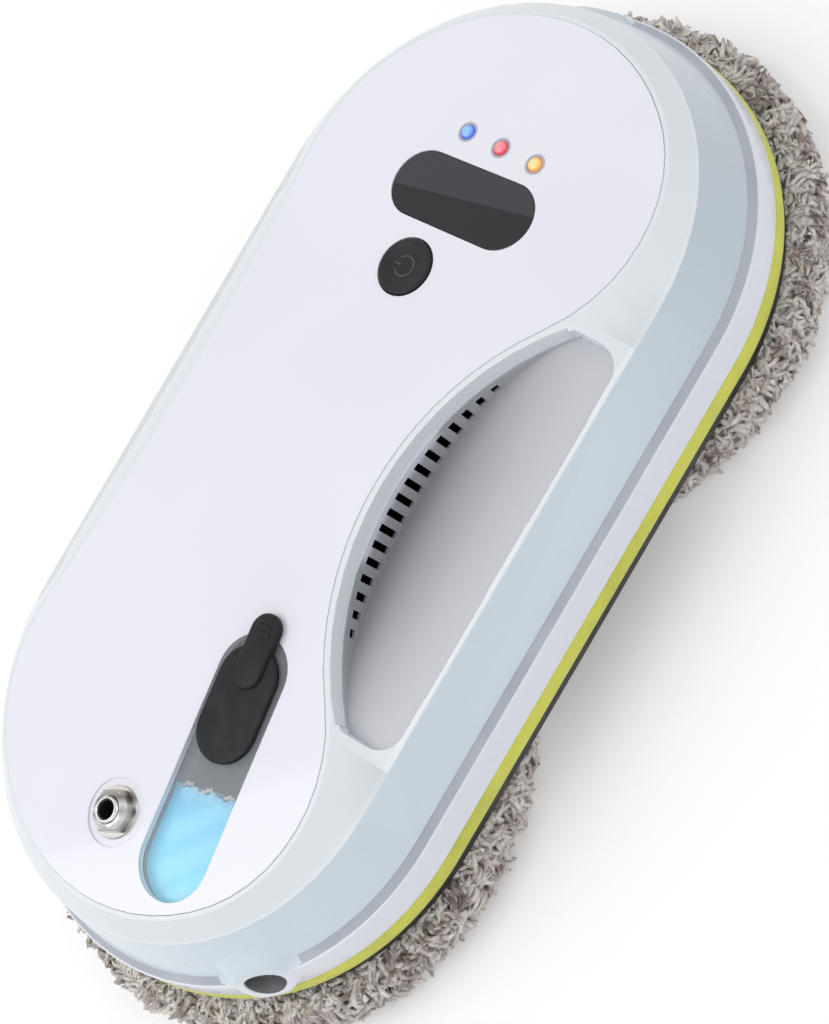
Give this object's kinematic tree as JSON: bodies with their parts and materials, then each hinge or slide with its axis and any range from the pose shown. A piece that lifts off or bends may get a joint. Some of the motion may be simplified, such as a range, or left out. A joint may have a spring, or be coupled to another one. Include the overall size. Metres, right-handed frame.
{
  "type": "window cleaning robot",
  "caption": "Window cleaning robot with two turning microfibre pads under a suction body, a water tank, spray nozzles and a grip recess.",
  "frame": {"origin": "centre of the footprint, on the surface that the pads rest on", "axes": "+X along the body towards the status lights, +Y away from the grip recess, +Z away from the window"},
  "size_m": [0.3114, 0.1554, 0.0659],
  "materials": {
    "plate_white": "gloss",
    "housing_white": "satin",
    "tub_grey": "satin",
    "trim_grey": "matte",
    "lime_rubber": "satin",
    "base_black": "matte",
    "wheel_black": "satin",
    "hook_nylon": "matte",
    "microfibre": "matte",
    "gear_ivory": "satin",
    "bush_bronze": "satin",
    "motor_steel": "satin",
    "duct_grey": "matte",
    "impeller_grey": "satin",
    "tank_grey": "satin",
    "tank_clear": "gloss",
    "water_blue": "gloss",
    "plug_rubber": "matte",
    "pump_white": "satin",
    "tube_silicone": "satin",
    "metal_bright": "polished",
    "board_green": "satin",
    "battery_blue": "satin",
    "window_black": "gloss",
    "lens_blue": "gloss",
    "lens_red": "gloss",
    "lens_amber": "gloss",
    "button_black": "satin",
    "contact_gold": "satin"
  },
  "bodies": {
    "chassis": {"top_panel": "plate_white", "upper_housing": "housing_white", "lower_housing": "housing_white", "nozzle_cowl_left": "housing_white", "nozzle_cowl_right": "housing_white", "grip_tub": "tub_grey", "groove_trim": "trim_grey", "edge_gasket": "lime_rubber", "base_plate": "base_black", "hub_bush_left": "bush_bronze", "hub_bush_right": "bush_bronze", "drive_motor_left": "motor_steel", "drive_motor_right": "motor_steel", "motor_screws": "motor_steel", "base_screws": "motor_steel", "suction_duct": "duct_grey", "fan_housing": "duct_grey", "fan_motor": "duct_grey", "button_switch": "duct_grey", "water_tank": "tank_grey", "tank_window": "tank_clear", "tank_water": "water_blue", "plug_anchor": "plug_rubber", "water_pump": "pump_white", "water_tube_left": "tube_silicone", "water_tube_right": "tube_silicone", "nozzle_left": "metal_bright", "nozzle_right": "metal_bright", "jack_body": "metal_bright", "jack_nut": "metal_bright", "main_board": "board_green", "battery_pack": "battery_blue", "ir_window": "window_black", "ir_receiver": "window_black", "led_blue": "lens_blue", "led_red": "lens_red", "led_amber": "lens_amber", "jack_pin": "contact_gold"},
    "wheel_left": {"wheel_disc_left": "wheel_black", "hook_ring_left": "hook_nylon", "pad_left": "microfibre", "hub_gear_left": "gear_ivory"},
    "wheel_right": {"wheel_disc_right": "wheel_black", "hook_ring_right": "hook_nylon", "pad_right": "microfibre", "hub_gear_right": "gear_ivory"},
    "pinion_left": {"pinion_left": "bush_bronze"},
    "pinion_right": {"pinion_right": "bush_bronze"},
    "fan_rotor": {"impeller": "impeller_grey", "fan_shaft": "motor_steel"},
    "plug": {"tank_plug": "plug_rubber"},
    "button": {"power_button": "button_black"}
  },
  "joints": [
    {"name": "wheel_left_turn", "type": "hinge", "parent": "chassis", "child": "wheel_left", "pos_m": [-0.078, 0, 0.0157], "axis": [0, 0, 1], "continuous": true},
    {"name": "wheel_right_turn", "type": "hinge", "parent": "chassis", "child": "wheel_right", "pos_m": [0.078, 0, 0.0157], "axis": [0, 0, 1], "continuous": true},
    {"name": "pinion_left_turn", "type": "hinge", "parent": "chassis", "child": "pinion_left", "pos_m": [-0.08529, 0.04136, 0.03], "axis": [0, 0, 1], "continuous": true},
    {"name": "pinion_right_turn", "type": "hinge", "parent": "chassis", "child": "pinion_right", "pos_m": [0.08529, 0.04136, 0.03], "axis": [0, 0, 1], "continuous": true},
    {"name": "fan_turn", "type": "hinge", "parent": "chassis", "child": "fan_rotor", "pos_m": [0, 0.014, 0.05], "axis": [0, 0, 1], "continuous": true},
    {"name": "plug_hinge", "type": "hinge", "parent": "chassis", "child": "plug", "pos_m": [-0.08251, -0.02251, 0.0614], "axis": [0.1616, -0.9869, 0], "range_deg": [0, 85]},
    {"name": "button_press", "type": "slide", "parent": "chassis", "child": "button", "axis": [0, 0, -1], "range_m": [0, 0.0008], "stiffness_N_per_m": 400}
  ],
  "couplings": [
    {"joint": "pinion_left_turn", "follows": "wheel_left_turn", "ratio": -3.6667},
    {"joint": "pinion_right_turn", "follows": "wheel_right_turn", "ratio": -3.6667}
  ]
}
